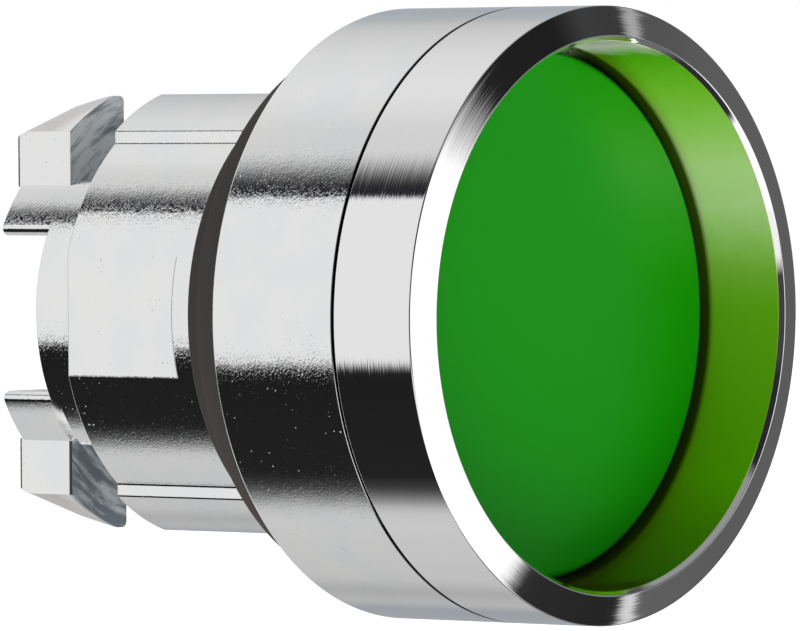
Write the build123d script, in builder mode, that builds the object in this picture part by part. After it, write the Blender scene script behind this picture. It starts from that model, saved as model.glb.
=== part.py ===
from build123d import *
import os

os.makedirs("parts", exist_ok=True)

# Push-button head for a round panel hole: a chromed zinc casting with a bezel ring in
# front, a recessed green cap, a rubber panel gasket and a sprung plunger inside.
# The button's axis lies along Y. The origin is the middle of the plane where the
# panel's front face meets the gasket. +Y goes into the panel and +Z is up, so the
# cap faces -Y and is pressed towards +Y.

# Driving dimensions, in millimetres

# Panel hole and gasket
panel_hole_diameter = 22.5
hole_clearance = 0.05  # between the gasket's collar and the panel hole
collar_wall = 0.60
collar_length = 2.1
gasket_clearance = 0.05  # between the gasket and the barrel inside it
seal_thickness = 2.3
seal_inset = 1.5  # how far the seal stays inside the bezel's edge
seal_edge_radius = 0.25

# Casting, outside
bezel_overlap = 3.25  # how far the bezel covers the panel round its hole
barrel_length = 10.55  # from the panel's front face to the end of the barrel
rib_height = 0.47
rib_half_width = 6.7
crown_flat_depth = 0.05  # the flats on top and below, cut through ribs and barrel
side_flat_depth = 0.40
side_flat_front = 3.7  # where the flats on the barrel's sides begin
neck_step = 1.45  # from the barrel's surface in to the neck's
neck_length = 3.0
neck_flat_height = 6.35  # the neck's flats, where the fixing collar's teeth slide in
horn_length = 3.05  # the two walls that go on behind the neck's side windows
window_half_height = 3.75
lug_length = 3.75
lug_advance = 0.15  # the lugs' front faces stand ahead of the windows
lug_inner_half_width = 2.8
lug_root_height = 6.0  # where the lug's underside lies, inside the horn's wall
lug_front_drop = 0.05  # how far the lug's top is below the ribs' flats in front
lug_rear_drop = 0.70  # and at its rear end, on the inner side
lug_side_drop = 1.30  # the sloping top falls this much more to the outer side
lug_front_rise = 0.88  # and rises this much to the front
lug_front_run = 3.75  # over this length
lug_rear_radius = 0.65
lug_corner_radius = 0.30  # on the inner corner of the lug's top
horn_edge_radius = 0.35
edge_break = 0.15
match_tolerance = 0.01  # for picking edges by their radius

# Casting, inside
barrel_wall = 1.35
neck_wall = 3.7
web_thickness = 1.8
flange_floor = 1.4  # floor of the cap's well, ahead of the gasket
key_slot_width = 3.0
key_slot_depth = 0.6

# Bezel ring
bezel_wall = 1.65
bezel_ring_length = 4.95
bezel_face_width = 1.44
bezel_face_rise = 0.45
bezel_lip_depth = 0.25  # the small bevel between the face and the inner wall
seam_gap = 0.20
tail_wall = 0.75
tail_length = 2.5
tail_clearance = 0.02
bezel_seal_section = 0.68
bezel_seal_clearance = 0.03

# Button cap
recess_depth = 4.55  # the cap's face below the ring's front edge
cap_clearance = 0.35
cap_height = 2.05
cap_thickness = 1.3
cap_skirt_wall = 1.2
cap_edge_radius = 0.25
cap_travel_clearance = 0.40
socket_depth = 3.2
socket_wall = 1.3
socket_clearance = 0.05

# Plunger and its spring
travel = 4.0
post_radius = 5.0
snap_bead = 0.15
snap_bead_length = 0.6
snap_bead_inset = 1.0
head_inset = 0.4  # the plunger's head below the floor of the cap's well
head_thickness = 1.4
head_length = 3.6
head_wall = 1.3
head_fit = 0.08
stem_radius = 3.2
stem_bore_radius = 1.2
stem_fit = 0.06
stem_seal_thickness = 1.4
stem_seal_clearance = 0.05
stem_seal_groove = 0.5
spring_seat_thickness = 0.5
spring_seat_clearance = 0.10
spring_seat_hole_clearance = 0.6
spring_wire = 0.8
spring_turns = 5.0
spring_side_clearance = 0.5

# Rear foot and its clip
rest_gap = 0.05  # between the foot and the web that stops it
foot_thickness = 1.5
foot_clearance = 0.30
foot_hole_clearance = 0.05
journal_step = 0.8  # from the stem down to the journal that carries the foot
pad_length = 1.8
pad_width = 3.0
pad_corner_radius = 0.35
pad_inset = 0.30  # from the foot's edge to the pads
pad_clip_clearance = 0.25
key_clearance = 0.2
clip_thickness = 0.6
clip_gap = 0.05
clip_width = 1.0
clip_mouth = 3.3
clip_groove_depth = 0.4
stem_end_length = 0.6

# Radii that follow from them
hole_radius = panel_hole_diameter / 2
collar_radius = hole_radius - hole_clearance
gasket_bore_radius = collar_radius - collar_wall
barrel_radius = gasket_bore_radius - gasket_clearance
barrel_bore_radius = barrel_radius - barrel_wall
rib_radius = barrel_radius + rib_height
crown_height = barrel_radius - crown_flat_depth
neck_radius = barrel_radius - neck_step
neck_bore_radius = neck_radius - neck_wall
bezel_radius = hole_radius + bezel_overlap
seal_radius = bezel_radius - seal_inset
well_radius = bezel_radius - bezel_wall
face_inner_radius = bezel_radius - bezel_face_width
tail_radius = well_radius + tail_wall
tail_bore_radius = tail_radius + tail_clearance
cap_radius = well_radius - cap_clearance
socket_radius = post_radius + socket_clearance
head_radius = barrel_bore_radius - head_fit
head_bore_radius = head_radius - head_wall
guide_radius = stem_radius + stem_fit
spring_seat_radius = barrel_bore_radius - spring_seat_clearance
spring_radius = head_bore_radius - spring_side_clearance - spring_wire / 2
foot_radius = neck_bore_radius - foot_clearance
journal_radius = stem_radius - journal_step
clip_groove_radius = journal_radius - clip_groove_depth
clip_inner_radius = clip_groove_radius + clip_gap
clip_outer_radius = clip_inner_radius + clip_width

# Places along the axis that follow from them
flange_rear = -seal_thickness
well_floor = flange_rear - flange_floor
cap_rear = well_floor - cap_travel_clearance - travel
cap_face = cap_rear - cap_height
ring_front = cap_face - recess_depth
ring_edge = ring_front + bezel_face_rise
ring_shoulder = ring_front + bezel_ring_length
flange_front = ring_shoulder + seam_gap
tail_end = ring_shoulder + tail_length
tail_seat = tail_end + bezel_seal_section + 2 * bezel_seal_clearance
cap_underside = cap_face + cap_thickness
head_front = well_floor + head_inset
head_underside = head_front + head_thickness
web_rear = barrel_length
web_front = web_rear - web_thickness
stem_seal_front = web_front - stem_seal_thickness
spring_seat_front = stem_seal_front - spring_seat_thickness
neck_end = barrel_length + neck_length
horn_end = neck_end + horn_length
lug_front = neck_end - lug_advance
lug_end = lug_front + lug_length
foot_front = web_rear + rest_gap
foot_rear = foot_front + foot_thickness
clip_front = foot_rear + clip_gap
clip_rear = clip_front + clip_thickness
stem_end = clip_rear + clip_gap + stem_end_length


def across(y):
    """The plane across the axis at y. Its extrusions go to the rear with a negative amount."""
    return Plane.XZ.offset(-y)


# Lugs of the bayonet: four, in the corners of the two horns. One is made and mirrored.
# Its top has the ribs' round and flat in front and a sloping plane to the rear. They are
# added to the casting below.
lug_width = rib_half_width - lug_inner_half_width
lug_height = crown_height - lug_front_drop - lug_root_height
lug_mid = (lug_inner_half_width + lug_width / 2, lug_root_height + lug_height / 2)
lug_slope = Plane(
    origin=(lug_inner_half_width, lug_end, crown_height - lug_rear_drop),
    z_dir=(lug_side_drop / lug_width, lug_front_rise / lug_front_run, 1),
)

with BuildPart() as lugs:
    with BuildSketch(across(lug_front)) as lug_outline:
        Circle(rib_radius)
        with Locations(lug_mid):
            Rectangle(lug_width, lug_height, mode=Mode.INTERSECT)
        inner_corners = lug_outline.vertices().group_by(Axis.X)[0]
        fillet(inner_corners.sort_by(Axis.Y)[-1], lug_corner_radius)
    extrude(amount=-lug_length)
    split(bisect_by=lug_slope, keep=Keep.BOTTOM)
    fillet(lugs.faces().sort_by(Axis.Y)[-1].edges(), lug_rear_radius)
    mirror(about=Plane.XY)
    mirror(about=Plane.YZ)

# Head casting: one piece of zinc with flange, barrel, ribs, web, neck, horns and lugs
with BuildPart() as head_casting:
    with BuildSketch(Plane.XY):
        with BuildLine():
            Polyline(
                (bezel_radius, flange_front),
                (bezel_radius, flange_rear),
                (barrel_radius, flange_rear),
                (barrel_radius, web_rear),
                (neck_radius, web_rear),
                (neck_radius, horn_end),
                (neck_bore_radius, horn_end),
                (neck_bore_radius, web_rear),
                (guide_radius, web_rear),
                (guide_radius, web_front),
                (barrel_bore_radius, web_front),
                (barrel_bore_radius, well_floor),
                (well_radius, well_floor),
                (well_radius, tail_seat),
                (tail_bore_radius, tail_seat),
                (tail_bore_radius, flange_front),
                close=True,
            )
        make_face()
    revolve(axis=Axis.Y)
    round_edges = head_casting.edges().filter_by(GeomType.CIRCLE)
    rim_edges = round_edges.filter_by(lambda edge: abs(edge.radius - bezel_radius) < match_tolerance)
    chamfer(rim_edges, edge_break)
    # The windows in the neck's sides leave the two horns standing
    with BuildSketch(across(neck_end)):
        Rectangle(2 * bezel_radius, 2 * window_half_height)
    extrude(amount=-horn_length, mode=Mode.SUBTRACT)
    window_edges = head_casting.edges().filter_by(Axis.Y).filter_by_position(Axis.Y, neck_end, horn_end)
    fillet(window_edges.filter_by(lambda edge: abs(edge.center().X) > neck_bore_radius), horn_edge_radius)
    # Flats above and below the neck, between the barrel and the lugs
    with BuildSketch(across(web_rear)):
        Rectangle(2 * bezel_radius, 2 * bezel_radius)
        Rectangle(2 * bezel_radius, 2 * neck_flat_height, mode=Mode.SUBTRACT)
    extrude(amount=-(lug_front - web_rear), mode=Mode.SUBTRACT)
    # Ribs on top and below, from the gasket's collar to the end of the barrel
    with BuildSketch(across(collar_length + gasket_clearance)):
        Circle(rib_radius)
        Circle(barrel_radius - rib_height, mode=Mode.SUBTRACT)
        Rectangle(2 * rib_half_width, 2 * rib_radius, mode=Mode.INTERSECT)
    extrude(amount=-(barrel_length - collar_length - gasket_clearance))
    # Flats across the ribs' crowns
    with BuildSketch(across(collar_length + gasket_clearance)):
        Rectangle(2 * rib_radius, 2 * bezel_radius)
        Rectangle(2 * rib_radius, 2 * crown_height, mode=Mode.SUBTRACT)
    extrude(amount=-(barrel_length - collar_length - gasket_clearance), mode=Mode.SUBTRACT)
    # Flats on the barrel's two sides
    with BuildSketch(across(side_flat_front)):
        for side in (-1, 1):
            with Locations((side * barrel_radius, 0)):
                Rectangle(2 * side_flat_depth, barrel_radius)
    extrude(amount=-(barrel_length - side_flat_front), mode=Mode.SUBTRACT)
    # Slots in the neck's bore keep the foot from turning
    with BuildSketch(across(web_rear)):
        Rectangle(2 * (neck_bore_radius + key_slot_depth), key_slot_width)
        Circle(foot_radius, mode=Mode.SUBTRACT)
    extrude(amount=-neck_length, mode=Mode.SUBTRACT)
    add(lugs.part)
head_casting.part.label = "head_casting"
export_step(head_casting.part, "parts/head_casting.step")

# Bezel ring: turned and polished, its tail pressed into the casting's flange
with BuildPart() as bezel_ring:
    with BuildSketch(Plane.XY):
        with BuildLine():
            Polyline(
                (bezel_radius, ring_edge),
                (bezel_radius, ring_shoulder),
                (tail_radius, ring_shoulder),
                (tail_radius, tail_end),
                (well_radius, tail_end),
                (well_radius, ring_front + bezel_lip_depth),
                (face_inner_radius, ring_front),
                close=True,
            )
        make_face()
    revolve(axis=Axis.Y)
bezel_ring.part.label = "bezel_ring"
export_step(bezel_ring.part, "parts/bezel_ring.step")

# Bezel seal: an O-ring between the ring's tail and its seat in the casting
bezel_seal_radius = tail_bore_radius - bezel_seal_clearance - bezel_seal_section / 2

with BuildPart() as bezel_seal:
    with BuildSketch(Plane.XY):
        with Locations((bezel_seal_radius, (tail_end + tail_seat) / 2)):
            Circle(bezel_seal_section / 2)
    revolve(axis=Axis.Y)
bezel_seal.part.label = "bezel_seal"
export_step(bezel_seal.part, "parts/bezel_seal.step")

# Panel gasket: a seal under the flange with a collar that centres it in the hole
with BuildPart() as panel_gasket:
    with BuildSketch(Plane.XY):
        with BuildLine():
            Polyline(
                (gasket_bore_radius, flange_rear),
                (seal_radius, flange_rear),
                (seal_radius, 0),
                (collar_radius, 0),
                (collar_radius, collar_length),
                (gasket_bore_radius, collar_length),
                close=True,
            )
        make_face()
    revolve(axis=Axis.Y)
    round_edges = panel_gasket.edges().filter_by(GeomType.CIRCLE)
    seal_edges = round_edges.filter_by(lambda edge: abs(edge.radius - seal_radius) < match_tolerance)
    fillet(seal_edges, seal_edge_radius)
panel_gasket.part.label = "panel_gasket"
export_step(panel_gasket.part, "parts/panel_gasket.step")

# Button cap: a moulded disc with a short skirt and a socket for the plunger's post
groove_start = cap_underside + snap_bead_inset
groove_end = groove_start + snap_bead_length + 2 * socket_clearance
socket_end = cap_underside + socket_depth

with BuildPart() as button_cap:
    with BuildSketch(Plane.XY):
        with BuildLine():
            Polyline(
                (0, cap_face),
                (cap_radius, cap_face),
                (cap_radius, cap_rear),
                (cap_radius - cap_skirt_wall, cap_rear),
                (cap_radius - cap_skirt_wall, cap_underside),
                (socket_radius + socket_wall, cap_underside),
                (socket_radius + socket_wall, socket_end),
                (socket_radius, socket_end),
                (socket_radius, groove_end),
                (socket_radius + snap_bead, groove_end),
                (socket_radius + snap_bead, groove_start),
                (socket_radius, groove_start),
                (socket_radius, cap_underside),
                (0, cap_underside),
                close=True,
            )
        make_face()
    revolve(axis=Axis.Y)
    fillet(button_cap.faces().sort_by(Axis.Y)[0].edges(), cap_edge_radius)
button_cap.part.label = "button_cap"
export_step(button_cap.part, "parts/button_cap.step")

# Plunger: post, guided head, stem and the journal for the foot
bead_start = groove_start + socket_clearance
bead_end = bead_start + snap_bead_length

with BuildPart() as plunger:
    with BuildSketch(Plane.XY):
        with BuildLine():
            Polyline(
                (stem_bore_radius, cap_underside + socket_clearance),
                (post_radius, cap_underside + socket_clearance),
                (post_radius, bead_start),
                (post_radius + snap_bead, bead_start),
                (post_radius + snap_bead, bead_end),
                (post_radius, bead_end),
                (post_radius, head_front),
                (head_radius, head_front),
                (head_radius, head_front + head_length),
                (head_bore_radius, head_front + head_length),
                (head_bore_radius, head_underside),
                (stem_radius, head_underside),
                (stem_radius, foot_front),
                (journal_radius, foot_front),
                (journal_radius, clip_front - clip_gap),
                (clip_groove_radius, clip_front - clip_gap),
                (clip_groove_radius, clip_rear + clip_gap),
                (journal_radius, clip_rear + clip_gap),
                (journal_radius, stem_end),
                (stem_bore_radius, stem_end),
                close=True,
            )
        make_face()
    revolve(axis=Axis.Y)
plunger.part.label = "plunger"
export_step(plunger.part, "parts/plunger.step")

# Return spring: a compression spring between the plunger's head and its seat, with
# both ends ground flat
spring_length = spring_seat_front - head_underside
spring_pitch = spring_length / spring_turns
spring_start = (0, head_underside, 0)

with BuildPart() as return_spring:
    with BuildLine() as spring_line:
        Helix(spring_pitch, spring_length, spring_radius, center=spring_start, direction=(0, 1, 0))
    with BuildSketch(Plane(origin=spring_line.line @ 0, z_dir=spring_line.line % 0)):
        Circle(spring_wire / 2)
    sweep(path=spring_line.line, is_frenet=True)
    with BuildSketch(across(head_underside)):
        Circle(spring_radius + spring_wire)
    extrude(amount=-spring_length, mode=Mode.INTERSECT)
return_spring.part.label = "return_spring"
export_step(return_spring.part, "parts/return_spring.step")

# Spring seat: a thin dished washer that holds the stem seal down on the web
seat_bore_radius = spring_seat_radius - spring_seat_thickness
seat_hole_radius = stem_radius + spring_seat_hole_clearance

with BuildPart() as spring_seat:
    with BuildSketch(Plane.XY):
        with BuildLine():
            Polyline(
                (seat_hole_radius, spring_seat_front),
                (spring_seat_radius, spring_seat_front),
                (spring_seat_radius, web_front),
                (seat_bore_radius, web_front),
                (seat_bore_radius, stem_seal_front),
                (seat_hole_radius, stem_seal_front),
                close=True,
            )
        make_face()
    revolve(axis=Axis.Y)
spring_seat.part.label = "spring_seat"
export_step(spring_seat.part, "parts/spring_seat.step")

# Stem seal: a rubber disc whose two lips run on the stem
stem_seal_radius = seat_bore_radius - stem_seal_clearance
lip_length = (stem_seal_thickness - stem_seal_groove) / 2

with BuildPart() as stem_seal:
    with BuildSketch(Plane.XY):
        with BuildLine():
            Polyline(
                (guide_radius, stem_seal_front),
                (stem_seal_radius, stem_seal_front),
                (stem_seal_radius, web_front),
                (guide_radius, web_front),
                (guide_radius, web_front - lip_length),
                (guide_radius + stem_seal_groove, web_front - lip_length),
                (guide_radius + stem_seal_groove, stem_seal_front + lip_length),
                (guide_radius, stem_seal_front + lip_length),
                close=True,
            )
        make_face()
    revolve(axis=Axis.Y)
stem_seal.part.label = "stem_seal"
export_step(stem_seal.part, "parts/stem_seal.step")

# Pusher foot: keyed in the neck's slots, with two pads that press what is behind
pad_top = foot_radius - pad_inset
pad_height = pad_top - clip_outer_radius - pad_clip_clearance
pad_middle = pad_top - pad_height / 2
key_radius = neck_bore_radius + key_slot_depth - key_clearance

with BuildPart() as pusher_foot:
    with BuildSketch(across(foot_front)):
        Circle(foot_radius)
        Rectangle(2 * key_radius, key_slot_width - 2 * key_clearance)
        Circle(journal_radius + foot_hole_clearance, mode=Mode.SUBTRACT)
    extrude(amount=-foot_thickness)
    with BuildSketch(across(foot_rear)):
        with Locations((0, pad_middle), (0, -pad_middle)):
            RectangleRounded(pad_width, pad_height, pad_corner_radius)
    extrude(amount=-pad_length)
    fillet(pusher_foot.faces().group_by(Axis.Y)[-1].edges(), edge_break)
pusher_foot.part.label = "pusher_foot"
export_step(pusher_foot.part, "parts/pusher_foot.step")

# Foot clip: an open spring-steel ring in the groove behind the foot
with BuildPart() as foot_clip:
    with BuildSketch(across(clip_front)):
        Circle(clip_outer_radius)
        Circle(clip_inner_radius, mode=Mode.SUBTRACT)
        with Locations((clip_outer_radius, 0)):
            Rectangle(2 * clip_outer_radius, clip_mouth, mode=Mode.SUBTRACT)
    extrude(amount=-clip_thickness)
foot_clip.part.label = "foot_clip"
export_step(foot_clip.part, "parts/foot_clip.step")
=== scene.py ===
# %% [markdown]
# # A push-button head in Blender
#
# This lesson dresses a CAD model of the metal head of a panel push-button: a chromed
# casting with a bezel ring in front, a green cap sunk in the ring, a rubber gasket and a
# bayonet neck. We load the CAD bodies as a fixed frame, place the camera, light the
# head like a product on a white table, and then give each piece its shape and finish.

# %% Load the frame
import math

import bmesh
import bpy
from mathutils import Matrix, Vector


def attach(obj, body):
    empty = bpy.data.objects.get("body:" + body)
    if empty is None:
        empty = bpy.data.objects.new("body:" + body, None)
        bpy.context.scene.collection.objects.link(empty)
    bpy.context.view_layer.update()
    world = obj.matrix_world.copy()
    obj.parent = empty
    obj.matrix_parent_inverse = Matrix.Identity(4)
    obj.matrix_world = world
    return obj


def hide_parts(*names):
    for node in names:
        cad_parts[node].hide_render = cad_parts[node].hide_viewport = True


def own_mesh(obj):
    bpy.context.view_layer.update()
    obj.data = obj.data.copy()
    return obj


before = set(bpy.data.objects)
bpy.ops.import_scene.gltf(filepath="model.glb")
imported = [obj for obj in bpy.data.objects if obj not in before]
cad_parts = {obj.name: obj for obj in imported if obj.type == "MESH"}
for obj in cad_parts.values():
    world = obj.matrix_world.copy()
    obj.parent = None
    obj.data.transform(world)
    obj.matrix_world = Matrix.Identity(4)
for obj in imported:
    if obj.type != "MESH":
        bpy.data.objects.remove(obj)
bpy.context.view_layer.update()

scene = bpy.context.scene
scene.view_settings.view_transform = "Standard"
MM = 0.001  # the drawing is in millimetres, Blender works in metres
FULL_TURN = 2 * math.pi

print("nodes:", sorted(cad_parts))

# %% [markdown]
# ## Camera
#
# A long lens from half a metre away flattens the perspective, as in most catalogue
# pictures. The camera looks at the head from the front left, only a little from above,
# so the round bezel becomes an ellipse and the neck points away to the left. The small
# shift moves the picture by a pixel or two and turns nothing.

# %% Camera
CAMERA_PLACE = Vector((-320.77, -269.25, 9.52)) * MM
CAMERA_AIM = Vector((0.0, -1.691, 0.0)) * MM
CAMERA_ROLL = math.radians(-0.342)
LENS = 394.9
SHIFT = (-0.0017, -0.0027)

camera_data = bpy.data.cameras.new("camera")
camera_data.sensor_width = 36.0
camera_data.lens = LENS
camera_data.shift_x, camera_data.shift_y = SHIFT
camera_data.clip_start = 0.01
camera_data.clip_end = 10.0
camera = bpy.data.objects.new("camera", camera_data)
scene.collection.objects.link(camera)
scene.camera = camera

backwards = (CAMERA_PLACE - CAMERA_AIM).normalized()
level_right = Vector((0, 0, 1)).cross(backwards).normalized()
level_up = backwards.cross(level_right)
right = math.cos(CAMERA_ROLL) * level_right + math.sin(CAMERA_ROLL) * level_up
up = backwards.cross(right)
turn = Matrix((right, up, backwards)).transposed().to_4x4()
camera.matrix_world = Matrix.Translation(CAMERA_PLACE) @ turn
print("camera looks along", [round(-v, 3) for v in backwards])


# %% [markdown]
# ## Node helpers
#
# Every finish below is a small node tree. These helpers keep the trees short: one adds
# a node and sets its inputs, one does a sum, some make a colour ramp from stops or a
# fade between two values, and one mixes two colours.

# %% Node helpers
def connect(tree, value, socket):
    """Links a socket, or sets a plain value."""
    if isinstance(value, bpy.types.NodeSocket):
        tree.links.new(value, socket)
    else:
        socket.default_value = value


def node(tree, kind, **inputs):
    """Adds a node; inputs are values or sockets, by the input's name with _ for spaces."""
    made = tree.nodes.new(kind)
    for name, value in inputs.items():
        connect(tree, value, made.inputs[name.replace("_", " ")])
    return made


def math_node(tree, operation, *values):
    """One sum on up to three values or sockets; gives its output socket."""
    made = tree.nodes.new("ShaderNodeMath")
    made.operation = operation
    for value, socket in zip(values, made.inputs):
        connect(tree, value, socket)
    return made.outputs[0]


def grey(level):
    """A neutral colour."""
    return (level, level, level, 1.0)


def ramp(tree, factor, stops):
    """A colour ramp from (place, colour or level) stops; gives its colour output."""
    made = tree.nodes.new("ShaderNodeValToRGB")
    elements = made.color_ramp.elements
    while len(elements) < len(stops):
        elements.new(1.0)
    for element, (place, colour) in zip(elements, stops):
        element.position = place
        element.color = colour if isinstance(colour, tuple) else grey(colour)
    connect(tree, factor, made.inputs[0])
    return made.outputs[0]


def steps(tree, value, *stops):
    """A ramp whose stops are given in the value's own units instead of 0 to 1."""
    first, last = stops[0][0], stops[-1][0]
    length = last - first
    share = math_node(tree, "DIVIDE", math_node(tree, "SUBTRACT", value, first), length)
    return ramp(tree, share, [((place - first) / length, colour) for place, colour in stops])


def fade(tree, value, start, end):
    """Goes from 0 at start to 1 at end, whichever of them is the higher."""
    if start < end:
        return steps(tree, value, (start, 0.0), (end, 1.0))
    return steps(tree, value, (end, 1.0), (start, 0.0))


def mix(tree, factor, a, b):
    """Mixes two colours; gives the result's socket."""
    made = tree.nodes.new("ShaderNodeMix")
    made.data_type = "RGBA"
    connect(tree, factor, made.inputs["Factor"])
    connect(tree, a, made.inputs[6])
    connect(tree, b, made.inputs[7])
    return made.outputs[2]


# %% [markdown]
# ## Studio
#
# Chrome has no colour of its own: it shows the room. This head was lit in a white tent
# with dark gaps in it, which draw the black bands along the metal. The world is that
# tent, written as brightness by direction.
#
# Most of the metal mirrors directions behind the object. There we measure the angle
# round the Y axis: white at the side, a dark gap above and a wider one below, and pale
# grey overhead and underneath. The gap's soft edges lean a little with Y, so that the
# fine rings on turned metal break them into streaks. Further back the tent is white all
# round, but right behind the object it is dark, which draws a thin line along the edges
# at its rear.

# %% Tent behind the object
BEHIND = (  # angle round the Y axis, from the -X side and up, and brightness
    (-180, (0.37, 0.40, 0.43, 1)),
    (-146, (0.38, 0.40, 0.43, 1)),
    (-138, 0.54),
    (-127, 0.48),
    (-117, 0.63),
    (-84, 0.71),
    (-79, 0.68),
    (-76, 0.55),
    (-73, 0.32),
    (-70, 0.15),
    (-67, 0.055),
    (-62, 0.018),
    (-19, 0.014),
    (-16.5, 0.95),
    (38, 0.95),
    (40, (0.014, 0.014, 0.020, 1)),
    (50.5, (0.022, 0.022, 0.030, 1)),
    (53, 0.09),
    (55.5, 0.22),
    (58, 0.44),
    (61, 0.66),
    (64, 0.80),
    (72, 0.78),
    (89, 0.90),
    (98, 0.91),
    (114, 0.85),
    (132, 0.71),
    (140, 0.64),
    (146, (0.50, 0.53, 0.56, 1)),
    (160, (0.42, 0.45, 0.50, 1)),
    (180, (0.42, 0.45, 0.50, 1)),
)
LEVEL_Y = 0.64  # the cylinders mirror directions with this Y
LEAN = 50.0  # degrees for a change of 1 in Y
WHITE = 0.95
WHITE_SIDE = ((0, 0.0), (10, 1.0), (45, 1.0), (46, 0.0))  # its upper edge doesn't lean
WHITE_FROM = (0.78, 0.86)  # further back, by Y, it is white all round
DARK_FROM = (0.925, 0.955)  # and right behind it is dark
DARK = 0.06

world = bpy.data.worlds.new("white_tent")
scene.world = world
world.use_nodes = True
tent = world.node_tree
tent.nodes.clear()
direction = node(tent, "ShaderNodeTexCoord").outputs["Generated"]
axes = node(tent, "ShaderNodeSeparateXYZ", Vector=direction).outputs
minus_x = math_node(tent, "MULTIPLY", axes["X"], -1.0)
minus_y = math_node(tent, "MULTIPLY", axes["Y"], -1.0)
round_axis = math_node(tent, "DEGREES", math_node(tent, "ARCTAN2", axes["Z"], minus_x))
lean = math_node(tent, "MULTIPLY", math_node(tent, "SUBTRACT", axes["Y"], LEVEL_Y), LEAN)
leaning = steps(tent, math_node(tent, "ADD", round_axis, lean), *BEHIND)
behind = mix(tent, steps(tent, round_axis, *WHITE_SIDE), leaning, grey(WHITE))
behind = mix(tent, fade(tent, axes["Y"], *WHITE_FROM), behind, grey(WHITE))
behind = mix(tent, fade(tent, axes["Y"], *DARK_FROM), behind, grey(DARK))

# %% [markdown]
# The bezel's front and every rounded edge mirror directions ahead of the object. Here
# the angle is measured from straight ahead towards +X, at four heights. High up it is
# dark but for one narrow slit. Level with the object a white screen ends in a grey room.
# Lower the screen ends in the dark and the slit shows again. Lowest lies a bright table,
# brightest at the front left. Straight down it is dark, and straight up a dim grey.

# %% Tent ahead of the object
HIGH = (  # angle from straight ahead towards +X, and brightness
    (-180, 0.03),
    (-90, 0.03),
    (46, 0.015),
    (52, 0.055),
    (60.2, 0.045),
    (60.5, 0.50),
    (62.0, 0.50),
    (62.6, 0.10),
    (100, 0.09),
    (180, 0.3),
)
LEVEL = (
    (-180, 0.6),
    (-90, 0.5),
    (-70, 0.06),
    (0, 0.06),
    (8, 1.3),
    (36, 1.3),
    (41, (0.32, 0.36, 0.40, 1)),
    (54, (0.32, 0.36, 0.40, 1)),
    (62, 0.12),
    (85, 0.13),
    (100, 0.09),
    (180, 0.6),
)
LOW = (
    (-180, 0.9),
    (-60, 1.0),
    (-10, 1.3),
    (36, 1.3),
    (38.5, 0.03),
    (60.2, 0.02),
    (60.5, 0.85),
    (62.0, 0.85),
    (62.6, 0.14),
    (100, 0.12),
    (180, 0.6),
)
TABLE = (
    (-180, 0.9),
    (-75, 1.2),
    (-45, 3.4),
    (-25, 4.0),
    (-5, 2.8),
    (15, 1.4),
    (40, 1.0),
    (60, 0.15),
    (180, 0.3),
)
BANDS = (  # what is seen, and the heights between which it fades in
    (HIGH, 0.24, 0.34),
    (LOW, -0.22, -0.32),
    (TABLE, -0.55, -0.72),
)
POLES = ((0.03, -0.84, -0.90), (0.35, 0.74, 0.80))  # straight down and straight up
AHEAD_ENDS = (0.30, 0.46)  # the Y between which ahead turns into behind

from_front = math_node(tent, "DEGREES", math_node(tent, "ARCTAN2", axes["X"], minus_y))
ahead = steps(tent, from_front, *LEVEL)
for band, start, end in BANDS:
    share = fade(tent, axes["Z"], start, end)
    ahead = mix(tent, share, ahead, steps(tent, from_front, *band))
for level, start, end in POLES:
    ahead = mix(tent, fade(tent, axes["Z"], start, end), ahead, grey(level))
room = mix(tent, fade(tent, axes["Y"], *AHEAD_ENDS), ahead, behind)

# %% [markdown]
# Only mirrored and transmitted rays see the tent. Everything else gets the same plain
# light from all round, and for the camera the background is plain white.

# %% World
PLAIN_LIGHT = 0.55

rays = node(tent, "ShaderNodeLightPath").outputs
mirrored = math_node(tent, "MAXIMUM", rays["Is Glossy Ray"], rays["Is Transmission Ray"])
light = mix(tent, mirrored, grey(PLAIN_LIGHT), room)
background = node(tent, "ShaderNodeBackground", Strength=1.0)
connect(tent, mix(tent, rays["Is Camera Ray"], light, grey(1.0)), background.inputs["Color"])
node(tent, "ShaderNodeOutputWorld", Surface=background.outputs[0])
print("tent made with", len(tent.nodes), "nodes")

# %% [markdown]
# The floor is a white table well below the head, which a stand would hold up. It is
# turned off in reflections, so that the metal shows the tent. Two large soft lamps give
# the plastic and the rubber their form: a weak one from above and a white card that
# shines up from the front left. With them a colour looks about as it is written.

# %% Floor and lamps
FLOOR_DEPTH = 60.0
FLOOR_SIZE = 4000.0
FLOOR_COLOUR = 0.8
FLOOR_GLOW = 0.75
LAMP_SIZE = 0.5  # metres
LAMPS = (  # name, place in metres and watts
    ("soft_lamp", (-0.30, -0.55, 0.45), 0.4),
    ("white_card", (-0.38, -0.50, -0.50), 3.2),
)
SHARP_FROM = math.radians(40)  # shading is smooth over edges less sharp than this


def finish_mesh(mesh, name):
    """Turns a bmesh drawn in millimetres into a smooth-shaded object in metres."""
    data = bpy.data.meshes.new(name)
    mesh.to_mesh(data)
    mesh.free()
    data.shade_smooth()
    data.set_sharp_from_angle(angle=SHARP_FROM)
    made = bpy.data.objects.new(name, data)
    scene.collection.objects.link(made)
    weighted = made.modifiers.new("weighted_normals", "WEIGHTED_NORMAL")
    weighted.weight = 80
    weighted.keep_sharp = True
    evaluated = made.evaluated_get(bpy.context.evaluated_depsgraph_get())
    made.data = bpy.data.meshes.new_from_object(evaluated)
    made.modifiers.clear()
    made.data.transform(Matrix.Scale(MM, 4))
    return made


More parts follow.
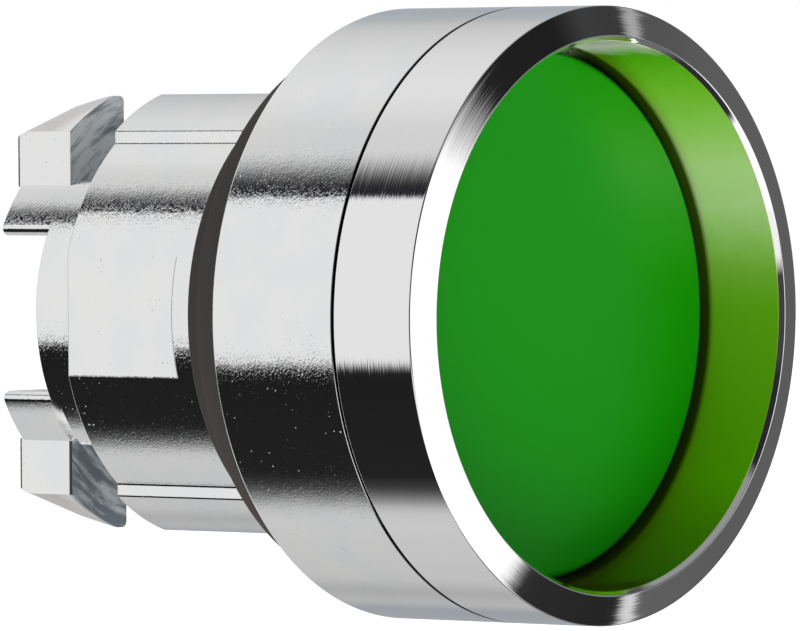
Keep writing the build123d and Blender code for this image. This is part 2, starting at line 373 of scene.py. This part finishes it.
floor_mesh = bmesh.new()
bmesh.ops.create_grid(floor_mesh, x_segments=1, y_segments=1, size=FLOOR_SIZE / 2)
bmesh.ops.translate(floor_mesh, vec=(0, 0, -FLOOR_DEPTH), verts=floor_mesh.verts)
floor = finish_mesh(floor_mesh, "floor")
floor.visible_glossy = False
floor.visible_diffuse = False
floor.visible_shadow = False

floor_finish = bpy.data.materials.new("white_table")
floor_finish.use_nodes = True
tree = floor_finish.node_tree
tree.nodes.clear()
matt = node(tree, "ShaderNodeBsdfDiffuse", Color=grey(FLOOR_COLOUR))
seen = node(tree, "ShaderNodeLightPath").outputs["Is Camera Ray"]
glow = node(tree, "ShaderNodeEmission", Strength=math_node(tree, "MULTIPLY", seen, FLOOR_GLOW))
both = node(tree, "ShaderNodeAddShader")
tree.links.new(matt.outputs[0], both.inputs[0])
tree.links.new(glow.outputs[0], both.inputs[1])
node(tree, "ShaderNodeOutputMaterial", Surface=both.outputs[0])
floor.data.materials.append(floor_finish)

for name, place, watts in LAMPS:
    lamp_data = bpy.data.lights.new(name, "AREA")
    lamp_data.shape = "SQUARE"
    lamp_data.size = LAMP_SIZE
    lamp_data.energy = watts
    lamp = bpy.data.objects.new(name, lamp_data)
    scene.collection.objects.link(lamp)
    lamp.location = place
    lamp.rotation_euler = (-lamp.location).to_track_quat("-Z", "Y").to_euler()
    lamp.visible_glossy = False
print("floor at", round(floor.data.vertices[0].co.z / MM, 1), "mm")


# %% [markdown]
# ## Finishes
#
# The casting and the ring are both chromed, but they don't look the same. The casting
# keeps a fine orange-peel skin and small pits under its plating, which break up the
# edges of the dark reflections. Their bumps are thousandths of a millimetre deep. It is
# also a little out of round: a soft swell on the barrel and a droop on the horns, both
# only bumps, move the dark bands by a few degrees. The lugs' ends are scraped and darker
# in streaks, and painted light makes them lighter higher up. On the horns and lugs the
# faces that point up or down are dull, and painted light makes them lighter and warmer.
# The seam in front is darkened with painted shade, except on a stretch of its lower half.

# %% Material helpers
def new_finish(name, **inputs):
    """A material with one Principled shader; gives the material, its tree and shader."""
    material = bpy.data.materials.new(name)
    material.use_nodes = True
    tree = material.node_tree
    tree.nodes.clear()
    shader = node(tree, "ShaderNodeBsdfPrincipled", **inputs)
    node(tree, "ShaderNodeOutputMaterial", Surface=shader.outputs[0])
    return material, tree, shader


def millimetres(tree):
    """The piece's own coordinates in millimetres."""
    place = node(tree, "ShaderNodeTexCoord").outputs["Object"]
    return node(tree, "ShaderNodeMapping", Vector=place, Scale=(1 / MM, 1 / MM, 1 / MM)).outputs[0]


def noise(tree, place, size, detail=2.0, roughness=0.5):
    """Soft noise whose features are about size millimetres wide; gives its value."""
    settings = {"Scale": 1 / size, "Detail": detail, "Roughness": roughness}
    return node(tree, "ShaderNodeTexNoise", Vector=place, **settings).outputs["Fac"]


def soft_fade(tree, value, start, end):
    """Goes from 0 at start to 1 at end, slowly at both ends."""
    made = node(tree, "ShaderNodeMapRange", Value=value, From_Min=start, From_Max=end)
    made.interpolation_type = "SMOOTHSTEP"
    return made.outputs[0]


def bump(tree, height, depth_mm, normal=None):
    """Turns a height from 0 to 1 into a bump of that depth in millimetres."""
    made = node(tree, "ShaderNodeBump", Height=height, Distance=depth_mm * MM, Strength=1.0)
    if normal is not None:
        tree.links.new(normal, made.inputs["Normal"])
    return made.outputs[0]


def distance_from_axis(tree, parts):
    """How far a point is from the Y axis."""
    squares = [math_node(tree, "POWER", parts[name], 2.0) for name in ("X", "Z")]
    return math_node(tree, "SQRT", math_node(tree, "ADD", *squares))


# %% Cast chrome
BACK_SKIN = (1.0, 2.5)  # the Y between which the skin of the part behind the panel starts
ON_HORNS = (13.0, 13.6)  # and the Y between which the horns' own starts
SWELL, DROOP = (16.0, 44.0), (-42.0, -25.0)  # degrees up from the side
SWELL_DEPTH = 0.28  # in mm
WAVES = (1.2, 0.006)  # size and depth in mm
GRAIN_SIZE, GRAIN_DEPTH = 0.13, 0.0065
GRAIN_RANGE = (0.48, 0.76)  # the noise between these two stands up as grain
GRAIN_SHARE, GRAIN_MORE_BEHIND = 0.30, 0.15
PITS = (  # pits in a mm, unevenness and its size in mm, a pit's two edges and its depth
    (2.6, 0.45, 1.5, (0.18, 0.28), 0.010),
    (5.5, 0.50, 0.7, (0.22, 0.36), 0.0035),
)
SEAM_START, SEAM_END, SEAM_FADE = -9.65, -9.52, 0.03  # the flange's front edge, by Y
# painted shade: the seam is darkened by height, except on a stretch of its lower half
SEAM_SHADE = ((-9.5, 1.0), (-8.5, 0.1), (-3.2, 0.1), (-1.5, 1.0))  # height in mm and share
SEAM_SHADE_GREY = 0.08
SMUDGE_SIZE = 2.5
SMUDGES = ((0.35, (0.77, 0.78, 0.79, 1)), (0.6, (0.80, 0.80, 0.795, 1)))
TOP_FACE, END_FACE = (0.80, 0.90), (0.95, 0.99)  # how far a normal points that way
# painted light: on the horns and lugs the faces that point up or down are lighter and warmer
TOP_PAINTED_LIGHT = (1.0, 0.97, 0.94, 1)
SCRAPE_SIZE, SCRAPE_STRETCH = 0.45, 0.03  # width in mm, and mm of noise for each degree
# painted light: the scrapes on the ends get lighter higher up
SCRAPES_PAINTED_LIGHTER_UP = 0.007  # for each mm up
SCRAPES = ((0.40, (0.30, 0.34, 0.37, 1)), (0.60, (0.97, 0.99, 1.0, 1)))
PATCH_SIZE, SKIN_ROUGHNESS = 0.7, (0.05, 0.02)  # how much of it varies, and the least
TOP_ROUGHER, END_ROUGHER, END_LESS_METAL = 0.35, 0.28, -0.35

cast_chrome, tree, shader = new_finish("cast_chrome")
place = millimetres(tree)
parts = node(tree, "ShaderNodeSeparateXYZ", Vector=place).outputs
behind_flange = fade(tree, parts["Y"], *BACK_SKIN)
sideways = math_node(tree, "ABSOLUTE", parts["X"])
height_angle = math_node(tree, "DEGREES", math_node(tree, "ARCTAN2", parts["Z"], sideways))
swell = soft_fade(tree, height_angle, *SWELL)
droop = soft_fade(tree, height_angle, *DROOP)
on_horns = fade(tree, parts["Y"], *ON_HORNS)
raised = math_node(tree, "MULTIPLY", swell, behind_flange)
sunk = math_node(tree, "SUBTRACT", droop, 1.0)
out_of_round = math_node(tree, "MULTIPLY_ADD", sunk, on_horns, raised)
skin = bump(tree, out_of_round, SWELL_DEPTH)
wave_size, wave_depth = WAVES
skin = bump(tree, noise(tree, place, wave_size), wave_depth, skin)
grain = fade(tree, noise(tree, place, GRAIN_SIZE, roughness=0.6), *GRAIN_RANGE)
grain_share = math_node(tree, "MULTIPLY_ADD", behind_flange, GRAIN_MORE_BEHIND, GRAIN_SHARE)
skin = bump(tree, math_node(tree, "MULTIPLY", grain, grain_share), GRAIN_DEPTH, skin)
for density, unevenness, size, edges, depth in PITS:
    cells = node(tree, "ShaderNodeTexVoronoi", Vector=place, Scale=density).outputs["Distance"]
    uneven = noise(tree, place, size, detail=3.0)
    cells = math_node(tree, "MULTIPLY_ADD", uneven, unevenness, cells)
    skin = bump(tree, fade(tree, cells, *edges), depth, skin)
connect(tree, skin, shader.inputs["Normal"])

seam = ((SEAM_START, 1.0), (SEAM_END - SEAM_FADE, 1.0), (SEAM_END, 0.0))
in_seam = steps(tree, parts["Y"], *seam)
# painted shade in the seam in front, by height
seam_shade = math_node(tree, "MULTIPLY", in_seam, steps(tree, parts["Z"], *SEAM_SHADE))
smudges = steps(tree, noise(tree, place, SMUDGE_SIZE, detail=3.0), *SMUDGES)
facing = node(tree, "ShaderNodeTexCoord").outputs["Normal"]
facing = node(tree, "ShaderNodeSeparateXYZ", Vector=facing).outputs
along, upward = (math_node(tree, "ABSOLUTE", facing[name]) for name in ("Y", "Z"))
dull_top_and_sheen = math_node(tree, "MULTIPLY", fade(tree, upward, *TOP_FACE), on_horns)
end_face = math_node(tree, "MULTIPLY", fade(tree, along, *END_FACE), behind_flange)
radius = distance_from_axis(tree, parts)
turned = math_node(tree, "MULTIPLY", height_angle, SCRAPE_STRETCH)
unrolled = node(tree, "ShaderNodeCombineXYZ", X=radius, Y=turned).outputs[0]
scrapes_and_sheen = noise(tree, unrolled, SCRAPE_SIZE, detail=4.0, roughness=0.6)
# painted light: the scrapes are made lighter higher up
scrapes_and_sheen = math_node(tree, "MULTIPLY_ADD", parts["Z"], SCRAPES_PAINTED_LIGHTER_UP, scrapes_and_sheen)
scrapes_and_sheen = steps(tree, scrapes_and_sheen, *SCRAPES)
# the faces that point up or down get painted light, the ends their scrapes
skin_colour = mix(tree, dull_top_and_sheen, mix(tree, end_face, smudges, scrapes_and_sheen), TOP_PAINTED_LIGHT)
connect(tree, mix(tree, seam_shade, skin_colour, grey(SEAM_SHADE_GREY)), shader.inputs["Base Color"])
metal = math_node(tree, "MULTIPLY_ADD", end_face, END_LESS_METAL, 1.0)
connect(tree, metal, shader.inputs["Metallic"])
dullness = math_node(tree, "MULTIPLY_ADD", noise(tree, place, PATCH_SIZE), *SKIN_ROUGHNESS)
dullness = math_node(tree, "MULTIPLY_ADD", dull_top_and_sheen, TOP_ROUGHER, dullness)
dullness = math_node(tree, "MULTIPLY_ADD", end_face, END_ROUGHER, dullness)
connect(tree, dullness, shader.inputs["Roughness"])
print("made", cast_chrome.name)

# %% [markdown]
# The ring was turned on a lathe, so very fine rings run round it. Inside, where the
# plating is thinnest, the metal is duller and it mirrors the cap, and the cap's green is
# painted into its colour as a painted reflection. Its upper half is hazy, less metallic,
# with painted light that makes it pale and a whiter strip at the top, and beside the cap
# painted shade darkens the wall.

# %% Turned chrome
# painted reflection and painted light: the inner wall's colour, by height, is the cap's green
# mirrored in it, pale on the upper half and whiter in a strip at the top
INSIDE_PAINTED_REFLECTION = (  # height in mm and colour
    (-12.5, (0.15, 0.27, 0.005, 1)),
    (-10.0, (0.24, 0.47, 0.003, 1)),
    (-8.0, (0.33, 0.66, 0.003, 1)),
    (0.0, (0.40, 0.74, 0.03, 1)),
    (2.0, (0.51, 0.78, 0.11, 1)),
    (3.5, (0.70, 0.91, 0.31, 1)),
    (5.0, (0.90, 1.00, 0.54, 1)),
    (7.0, (0.88, 1.00, 0.50, 1)),
    (8.5, (0.71, 0.98, 0.27, 1)),
    (10.5, (0.50, 0.92, 0.07, 1)),
    (12.2, (0.29, 0.76, 0.004, 1)),
    (12.6, (1.00, 1.00, 0.90, 1)),
)
HAZE = (  # height in mm and share
    (0.0, 0.35),
    (5.0, 0.54),
    (7.0, 0.54),
    (12.2, 0.35),
    (12.6, 0.95),
)
# the painted reflection is made uneven with these
PAINTED_REFLECTION_PATCHES = (1.2, 0.8)  # size and reach in mm of the tint's unevenness
# painted shade: beside the cap the wall is darkened, as if in the cap's shadow
BESIDE_CAP = (-10.48, -10.20)  # the Y between which the wall goes dark
PAINTED_SHADE_BESIDE_CAP = (0.05, 0.12, 0.002, 1)
WALL_RADIUS = 12.87  # the inner wall lies within this
RING_COLOUR = 0.80
RING_ROUGHNESS, WALL_ROUGHER = 0.05, 0.08
WIDE_GROOVES, FINE_GROOVES = (0.35, 0.0025), (0.12, 0.0042)  # size and depth in mm
ON_SIDE = ((14.2, 0.35), (14.45, 1.0))  # radius and share: the fine ones fade on the front

turned_chrome, tree, shader = new_finish("turned_chrome")
place = millimetres(tree)
parts = node(tree, "ShaderNodeSeparateXYZ", Vector=place).outputs
radius = distance_from_axis(tree, parts)
across_grooves = node(tree, "ShaderNodeCombineXYZ", X=radius, Y=parts["Y"]).outputs[0]
(wide_size, wide_depth), (fine_size, fine_depth) = WIDE_GROOVES, FINE_GROOVES
wide = bump(tree, noise(tree, across_grooves, wide_size, detail=1.0), wide_depth)
on_side = steps(tree, radius, *ON_SIDE)
fine = math_node(tree, "MULTIPLY", noise(tree, across_grooves, fine_size, roughness=0.7), on_side)
connect(tree, bump(tree, fine, fine_depth, wide), shader.inputs["Normal"])
inside = math_node(tree, "LESS_THAN", radius, WALL_RADIUS)
patch_size, patch_reach = PAINTED_REFLECTION_PATCHES
patches = noise(tree, place, patch_size, detail=3.0)
level = math_node(tree, "MULTIPLY_ADD", patches, patch_reach, parts["Z"])
level = math_node(tree, "SUBTRACT", level, patch_reach / 2)
# painted reflection and painted light on the inner wall, by height
painted_reflection = steps(tree, level, *INSIDE_PAINTED_REFLECTION)
# painted shade on the wall beside the cap
painted_reflection = mix(tree, fade(tree, parts["Y"], *BESIDE_CAP), painted_reflection, PAINTED_SHADE_BESIDE_CAP)
connect(tree, mix(tree, inside, grey(RING_COLOUR), painted_reflection), shader.inputs["Base Color"])
haze = math_node(tree, "MULTIPLY", inside, steps(tree, parts["Z"], *HAZE))
connect(tree, math_node(tree, "SUBTRACT", 1.0, haze), shader.inputs["Metallic"])
dullness = math_node(tree, "MULTIPLY_ADD", inside, WALL_ROUGHER, RING_ROUGHNESS)
connect(tree, dullness, shader.inputs["Roughness"])
print("made", turned_chrome.name)

# %% [markdown]
# The cap is a moulded green plastic with a satin face, and the gasket is soft black
# rubber. Moulded pieces need a slight unevenness, or they look like paint.

# %% Plastic, rubber and steel
PLAIN = {  # name: colour, metal, roughness, gloss, size and depth of the unevenness in mm
    "green_plastic": ((0.0045, 0.31, 0.0015, 1), 0.0, 0.34, 0.2, 0.12, 0.0015),
    "black_rubber": ((0.058, 0.051, 0.049, 1), 0.0, 0.60, 0.3, 0.15, 0.003),
    "white_plastic": ((0.72, 0.71, 0.66, 1), 0.0, 0.45, 0.5, 0.20, 0.002),
    "black_plastic": ((0.030, 0.030, 0.032, 1), 0.0, 0.40, 0.5, 0.20, 0.002),
    "spring_steel": ((0.55, 0.55, 0.56, 1), 1.0, 0.25, 0.5, 0.10, 0.001),
}
plain = {}
for name, (colour, metal, roughness, gloss, size, depth) in PLAIN.items():
    material, tree, shader = new_finish(
        name, Base_Color=colour, Metallic=metal, Roughness=roughness, Specular_IOR_Level=gloss
    )
    connect(tree, bump(tree, noise(tree, millimetres(tree), size), depth), shader.inputs["Normal"])
    plain[name] = material
print("made", ", ".join(plain))


# %% [markdown]
# ## Turned pieces
#
# The ring, the cap and the gasket are round, so each is a profile spun round the Y axis.
# A spin with many steps keeps the reflections smooth. Real edges are never perfectly
# sharp: a small bevel on them catches a thin line of light.

# %% Shape helpers
TURN_STEPS = 360


def spun(profile):
    """A closed profile of (radius, y) points, in millimetres, spun round the Y axis."""
    mesh = bmesh.new()
    corners = [mesh.verts.new((r, y, 0)) for r, y in profile]
    sides = [mesh.edges.new(pair) for pair in zip(corners, corners[1:] + corners[:1])]
    bmesh.ops.spin(
        mesh,
        geom=corners + sides,
        cent=(0, 0, 0),
        axis=(0, 1, 0),
        angle=FULL_TURN,
        steps=TURN_STEPS,
        use_merge=True,
    )
    bmesh.ops.remove_doubles(mesh, verts=mesh.verts, dist=0.0005)
    bmesh.ops.recalc_face_normals(mesh, faces=mesh.faces)
    return mesh


def round_edges(mesh, edges, width, segments):
    """Bevels some edges with a round profile."""
    bmesh.ops.bevel(
        mesh,
        geom=edges,
        offset=width,
        offset_type="OFFSET",
        segments=segments,
        profile=0.5,
        affect="EDGES",
        clamp_overlap=True,
        material=-1,
    )


def sharp_edges(mesh, degrees, outside=0.0):
    """The edges that are sharper than an angle and lie outside a radius."""
    return [
        edge
        for edge in mesh.edges
        if len(edge.link_faces) == 2
        and edge.calc_face_angle() > math.radians(degrees)
        and all(math.hypot(v.co.x, v.co.z) > outside for v in edge.verts)
    ]


def dress(piece, finish, body, slot, *nodes):
    """Gives a piece its finish and body, and hides the CAD nodes it stands for. The slot is not
    used.
    """
    piece.data.materials.clear()
    piece.data.materials.append(finish)
    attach(piece, body)
    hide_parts(*nodes)
    print(f"{piece.name}: {len(piece.data.polygons)} faces on {body}, for {', '.join(nodes)}")


# %% Bezel ring
ring_mesh = spun(
    (
        (14.5, -14.25),
        (14.5, -9.72),
        (13.6, -9.72),
        (13.6, -7.25),
        (12.85, -7.25),
        (12.85, -14.45),
        (13.06, -14.70),
    )
)
round_edges(ring_mesh, sharp_edges(ring_mesh, 10), width=0.05, segments=3)
ring = finish_mesh(ring_mesh, "ring")
dress(ring, turned_chrome, "head_body", "polished_chrome", "bezel_ring")

# %% Button cap
cap_mesh = spun(
    (
        (0.0, -10.15),
        (12.5, -10.15),
        (12.5, -8.10),
        (11.3, -8.10),
        (11.3, -8.85),
        (6.35, -8.85),
        (6.35, -5.65),
        (5.05, -5.65),
        (5.05, -8.85),
        (0.0, -8.85),
    )
)
face_edge = [e for e in sharp_edges(cap_mesh, 30, outside=12) if e.verts[0].co.y < -10]
round_edges(cap_mesh, face_edge, width=0.35, segments=6)
round_edges(cap_mesh, sharp_edges(cap_mesh, 30), width=0.2, segments=3)
cap = finish_mesh(cap_mesh, "green_cap")
dress(cap, plain["green_plastic"], "button", "green_plastic", "button_cap")

# %% Panel gasket
gasket_mesh = spun(
    (
        (10.6, -2.30),
        (13.0, -2.30),
        (13.0, 0.0),
        (11.2, 0.0),
        (11.2, 2.1),
        (10.6, 2.1),
    )
)
round_edges(gasket_mesh, sharp_edges(gasket_mesh, 30), width=0.15, segments=3)
gasket = finish_mesh(gasket_mesh, "gasket")
dress(gasket, plain["black_rubber"], "head_body", "gasket_rubber", "panel_gasket")


# %% [markdown]
# ## The casting
#
# The casting is one piece of metal, but plain solids that run into each other are the
# easiest way to build it: a turned flange, a barrel with ribs and flats, a neck, two
# horns and four lugs. The barrel and the neck are loops round the axis whose radius
# depends on the angle. An outer loop is bridged to an inner one and then extruded.

# %% Loops round the axis
def all_round(corners):
    """Angles for a whole turn, every two degrees, with some corners in every quarter."""
    quarter = sorted(corners)
    even = [a for a in range(0, 91, 2) if all(abs(a - c) > 0.4 for c in quarter)]
    quarter = sorted(quarter + even)
    half = quarter + [180 - a for a in reversed(quarter[:-1])]
    return [math.radians(a) for a in half + [a + 180 for a in half[1:-1]]]


def loop(mesh, radius_at, angles, y):
    """A closed loop of edges round the axis; radius_at gives the radius at an angle."""
    corners = [
        mesh.verts.new((radius_at(a) * math.cos(a), y, radius_at(a) * math.sin(a))) for a in angles
    ]
    return [mesh.edges.new(pair) for pair in zip(corners, corners[1:] + corners[:1])]


def pushed(mesh, length):
    """Extrudes every face of a flat mesh along the axis."""
    made = bmesh.ops.extrude_face_region(mesh, geom=mesh.faces[:], use_keep_orig=True)
    tops = [g for g in made["geom"] if isinstance(g, bmesh.types.BMVert)]
    bmesh.ops.translate(mesh, vec=(0, length, 0), verts=tops)
    bmesh.ops.recalc_face_normals(mesh, faces=mesh.faces)
    return mesh


def sleeve(outer, inner, corners, start, end):
    """A hollow solid between two loops, from one place along the axis to another."""
    mesh = bmesh.new()
    angles = all_round(corners)
    edges = loop(mesh, outer, angles, start) + loop(mesh, inner, angles, start)
    bmesh.ops.bridge_loops(mesh, edges=edges)
    return pushed(mesh, end - start)


def slab(outline, start, end):
    """A solid from a flat outline of (x, z) points."""
    mesh = bmesh.new()
    mesh.faces.new([mesh.verts.new((x, start, z)) for x, z in outline])
    return pushed(mesh, end - start)


def cut_off(mesh, point, outward):
    """Cuts away what lies beyond a plane and closes the hole."""
    cut = bmesh.ops.bisect_plane(
        mesh,
        geom=mesh.verts[:] + mesh.edges[:] + mesh.faces[:],
        plane_co=point,
        plane_no=outward,
        clear_outer=True,
    )
    rim = [g for g in cut["geom_cut"] if isinstance(g, bmesh.types.BMEdge)]
    bmesh.ops.edgeloop_fill(mesh, edges=rim)


def arc(radius, start, end, count):
    """Points on a circle round the axis, between two angles in degrees."""
    angles = [math.radians(start + (end - start) * i / count) for i in range(count + 1)]
    return [(radius * math.cos(a), radius * math.sin(a)) for a in angles]


# %% Sizes of the casting
BARREL_RADIUS, RIB_RADIUS, NECK_RADIUS, NECK_BORE = 10.55, 11.02, 9.1, 5.4
SIDE_FLAT, CROWN, RIB_SIDE, NECK_FLAT = 10.15, 10.50, 6.7, 6.35
BARREL_END, NECK_END, HORN_END, LUG_START, LUG_END = 10.55, 13.55, 16.60, 13.40, 17.15
BARREL_START, BARREL_BORE = 2.15, 9.202  # it starts round the flange's tube
WEB_START, WEB_END, WEB_BORE, WEB_REACH = 8.75, BARREL_END - 0.005, 3.26, 9.5
WINDOW = 3.75  # half of its height
SLOT_HALF_WIDTH, SLOT_REACH = 1.5, 6.0
HAIR = 0.003  # solids that would share a face are set this far apart
OVERLAP = 0.1  # the neck starts this far inside the barrel

side_corner = math.degrees(math.acos(SIDE_FLAT / BARREL_RADIUS))
rib_foot = math.degrees(math.acos(RIB_SIDE / BARREL_RADIUS))
rib_top = math.degrees(math.acos(RIB_SIDE / RIB_RADIUS))
crown_corner = math.degrees(math.asin(CROWN / RIB_RADIUS))
neck_corner = math.degrees(math.asin(NECK_FLAT / NECK_RADIUS))
slot_corner = math.degrees(math.atan2(SLOT_HALF_WIDTH, SLOT_REACH))
slot_mouth = math.degrees(math.asin(SLOT_HALF_WIDTH / NECK_BORE))


def barrel_radius_at(angle):
    """The barrel's outline: side flats, round, rib's side and crown with its flat."""
    across, upward = abs(math.cos(angle)), abs(math.sin(angle))
    turned = math.degrees(math.atan2(upward, across))
    if turned < rib_foot + 0.001:
        return min(BARREL_RADIUS, SIDE_FLAT / across)
    if turned < rib_top:
        return RIB_SIDE / across
    return min(RIB_RADIUS, CROWN / upward)


def neck_radius_at(angle):
    """The neck's outline: round with flats on top and below."""
    return min(NECK_RADIUS - HAIR, NECK_FLAT / max(abs(math.sin(angle)), 0.01))


def neck_bore_at(angle):
    """The neck's bore, with a slot on each side for the foot's keys."""
    across, upward = abs(math.cos(angle)), abs(math.sin(angle))
    turned = math.degrees(math.atan2(upward, across))
    if turned < slot_corner + 0.001:
        return SLOT_REACH / across
    if turned < slot_mouth:
        return SLOT_HALF_WIDTH / upward
    return NECK_BORE


# %% Flange, barrel and neck
flange = spun(
    (
        (14.5, -9.60),
        (14.5, -2.30),
        (10.548, -2.30),
        (10.548, 3.70),
        (9.2, 3.70),
        (9.2, -3.70),
        (12.85, -3.70),
        (12.85, -6.51),
        (13.62, -6.51),
        (13.62, -9.60),
    )
)
front_edge = [e for e in sharp_edges(flange, 30, outside=14.4) if e.verts[0].co.y < -9]
round_edges(flange, front_edge, width=0.06, segments=2)
rear_edges = [e for e in sharp_edges(flange, 30, outside=10.5) if e.verts[0].co.y > -3]
round_edges(flange, rear_edges, width=0.14, segments=3)

barrel_corners = (side_corner, rib_foot, rib_top, crown_corner)
barrel = sleeve(
    barrel_radius_at, lambda angle: BARREL_BORE, barrel_corners, BARREL_START, BARREL_END
)
round_edges(barrel, sharp_edges(barrel, 14, outside=10.0), width=0.07, segments=3)

web = spun(
    (
        (WEB_BORE, WEB_START),
        (WEB_REACH, WEB_START),
        (WEB_REACH, WEB_END),
        (WEB_BORE, WEB_END),
    )
)

neck_corners = (slot_corner, slot_mouth, neck_corner)
neck = sleeve(neck_radius_at, neck_bore_at, neck_corners, BARREL_END - OVERLAP, NECK_END)
round_edges(neck, sharp_edges(neck, 14, outside=6.2), width=0.06, segments=2)
print("neck and barrel:", len(neck.faces) + len(barrel.faces), "faces")

# %% [markdown]
# The horns are what the side windows leave of the neck. A lug is a slab with the rib's
# round on top. A sloping cut lowers its rear end, and the edges round that end are worn
# well round. One horn and one lug are made and mirrored.

# %% Horns and lugs
LUG_INNER, LUG_ROOT, LUG_TOP = 2.8, 6.0, 10.45
LUG_REAR_TOP = 9.80  # where the sloping cut meets the rear face
HORN_ROUND = 0.35  # the rounding of the horns' corners beside the window
SLOPE = Vector((1.30 / 3.9, 0.88 / 3.75, 1.0))  # the sloping cut's normal


def mirrored_over(mesh, axis):
    """Adds a mirrored copy of everything."""
    everything = mesh.verts[:] + mesh.edges[:] + mesh.faces[:]
    bmesh.ops.mirror(mesh, geom=everything, axis=axis, merge_dist=0.0)


bore_start = math.degrees(math.asin(WINDOW / NECK_BORE))
corner_z = WINDOW + HORN_ROUND
corner_x = math.sqrt((NECK_RADIUS - HORN_ROUND) ** 2 - corner_z**2)
horn_start = math.degrees(math.atan2(corner_z, corner_x))
corner = [(corner_x + x, corner_z + z) for x, z in arc(HORN_ROUND, -90, horn_start, count=10)]
horn_outline = corner + arc(NECK_RADIUS, horn_start, 180 - horn_start, count=80)[1:-1]
horn_outline += [(-x, z) for x, z in reversed(corner)]
horn_outline += arc(NECK_BORE, 180 - bore_start, bore_start, count=40)
horns = slab(horn_outline, LUG_START + 4 * HAIR, HORN_END)
round_edges(horns, sharp_edges(horns, 30, outside=5.6), width=0.06, segments=2)
mirrored_over(horns, "Z")

lug_crown = math.degrees(math.asin(LUG_TOP / RIB_RADIUS))
lug_outline = [(LUG_INNER, LUG_ROOT), (RIB_SIDE, LUG_ROOT)]
lug_outline += arc(RIB_RADIUS, rib_top, lug_crown, count=14) + [(LUG_INNER, LUG_TOP)]
lugs = slab(lug_outline, LUG_START, LUG_END)
corner_edges = [
    edge
    for edge in lugs.edges
    if all(abs(v.co.x - LUG_INNER) < 0.01 and v.co.z > LUG_TOP - 0.01 for v in edge.verts)
]
round_edges(lugs, corner_edges, width=0.30, segments=5)
cut_off(lugs, (LUG_INNER, LUG_END, LUG_REAR_TOP), SLOPE)
bmesh.ops.recalc_face_normals(lugs, faces=lugs.faces)
rear_edges = [edge for edge in lugs.edges if all(v.co.y > LUG_END - 0.01 for v in edge.verts)]
round_edges(lugs, rear_edges, width=0.65, segments=6)
round_edges(lugs, sharp_edges(lugs, 30), width=0.09, segments=3)
mirrored_over(lugs, "X")
mirrored_over(lugs, "Z")

# %% Casting
casting_mesh = bmesh.new()
for solid in (flange, barrel, web, neck, horns, lugs):
    part_data = bpy.data.meshes.new("part")
    solid.to_mesh(part_data)
    solid.free()
    casting_mesh.from_mesh(part_data)
    bpy.data.meshes.remove(part_data)
bmesh.ops.recalc_face_normals(casting_mesh, faces=casting_mesh.faces)
casting = finish_mesh(casting_mesh, "casting")
dress(casting, cast_chrome, "head_body", "chromed_zinc", "head_casting")

# %% [markdown]
# ## Return spring
#
# The spring sits inside the barrel, between the plunger and its seat. A circle is spun
# round the axis and moved along it at every step, and both ends are ground flat. The
# spring stays on its seat.

# %% Return spring
SPRING_FRONT, SPRING_SEAT, SPRING_RADIUS, WIRE, COILS = -1.88, 6.85, 6.92, 0.8, 5
COIL_STEPS = 60  # for each turn

spring_length = SPRING_SEAT - SPRING_FRONT
coil = bmesh.new()
section = bmesh.ops.create_circle(coil, radius=WIRE / 2, segments=16)["verts"]
bmesh.ops.translate(coil, vec=(SPRING_RADIUS, SPRING_FRONT, 0), verts=section)
bmesh.ops.spin(
    coil,
    geom=coil.verts[:] + coil.edges[:],
    cent=(0, 0, 0),
    axis=(0, 1, 0),
    dvec=(0, spring_length / (COILS * COIL_STEPS), 0),
    angle=COILS * FULL_TURN,
    steps=COILS * COIL_STEPS,
)
bmesh.ops.holes_fill(coil, edges=coil.edges[:], sides=0)
for end, outward in ((SPRING_FRONT, -1), (SPRING_SEAT, 1)):
    cut_off(coil, (0, end, 0), (0, outward, 0))
bmesh.ops.recalc_face_normals(coil, faces=coil.faces)
spring = finish_mesh(coil, "spring")
dress(spring, plain["spring_steel"], "head_body", "spring_steel", "return_spring")
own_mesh(spring)

# %% [markdown]
# ## Pieces inside
#
# The rest is small or hidden, and the CAD bodies are fine enough for it. They only get
# their finishes.

# %% CAD nodes that keep their shape
KEPT = {
    "bezel_seal": plain["black_rubber"],
    "stem_seal": plain["black_rubber"],
    "plunger": plain["white_plastic"],
    "pusher_foot": plain["black_plastic"],
    "spring_seat": plain["spring_steel"],
    "foot_clip": plain["spring_steel"],
}
for name, finish in KEPT.items():
    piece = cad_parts[name]
    piece.data.materials.clear()
    piece.data.materials.append(finish)
print("kept:", sorted(KEPT))
